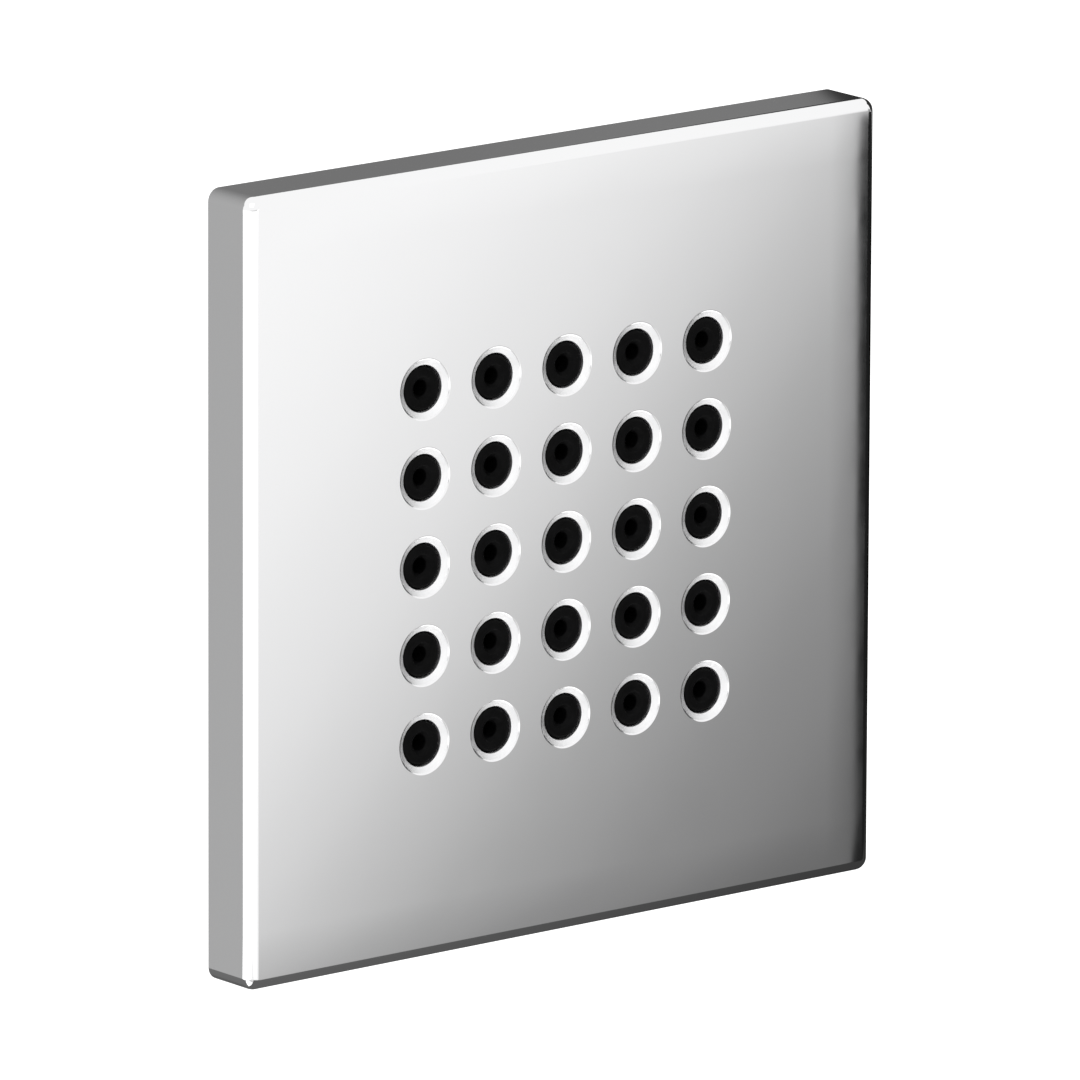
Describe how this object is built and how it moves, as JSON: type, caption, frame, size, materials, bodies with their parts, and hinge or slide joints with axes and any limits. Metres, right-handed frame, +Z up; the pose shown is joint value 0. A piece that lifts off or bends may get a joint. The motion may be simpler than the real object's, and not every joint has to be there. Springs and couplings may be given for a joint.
{
  "type": "shower body jet",
  "caption": "Square flush shower body jet: polished plate with black silicone nozzles, on a head that swivels on a threaded half-inch inlet nipple.",
  "frame": {"origin": "centre of the plate's rear rim, in the plane of the finished wall, on the inlet axis", "axes": "+Z up, -Y towards the room in the direction of the spray, +Y into the wall along the inlet thread"},
  "size_m": [0.06, 0.0302, 0.06],
  "materials": {
    "plate_chrome": "polished chrome plate on brass",
    "nozzle_silicone": "satin black silicone",
    "carrier_plastic": "moulded white plastic",
    "housing_brass": "machined brass",
    "screw_steel": "stainless steel",
    "gasket_foam": "closed-cell foam rubber",
    "spring_steel": "spring steel",
    "nipple_brass": "turned brass",
    "seal_rubber": "black rubber",
    "slide_plastic": "white sliding plastic",
    "restrictor_plastic": "green moulded plastic",
    "strainer_plastic": "moulded grey plastic",
    "mesh_steel": "stainless steel mesh"
  },
  "bodies": {
    "inlet": {"inlet_nipple": "nipple_brass", "spigot_seal": "seal_rubber", "slide_ring": "slide_plastic", "thrust_washer": "slide_plastic", "flow_restrictor": "restrictor_plastic", "strainer_frame": "strainer_plastic", "strainer_mesh": "mesh_steel"},
    "head": {"face_plate": "plate_chrome", "nozzle_mat": "nozzle_silicone", "nozzle_carrier": "carrier_plastic", "jet_housing": "housing_brass", "housing_screws": "screw_steel", "wall_gasket": "gasket_foam", "snap_ring": "spring_steel"}
  },
  "joints": [
    {"name": "head_swivel", "type": "hinge", "parent": "inlet", "child": "head", "pos_m": [0, 0, 0], "axis": [0, 1, 0], "continuous": true}
  ]
}
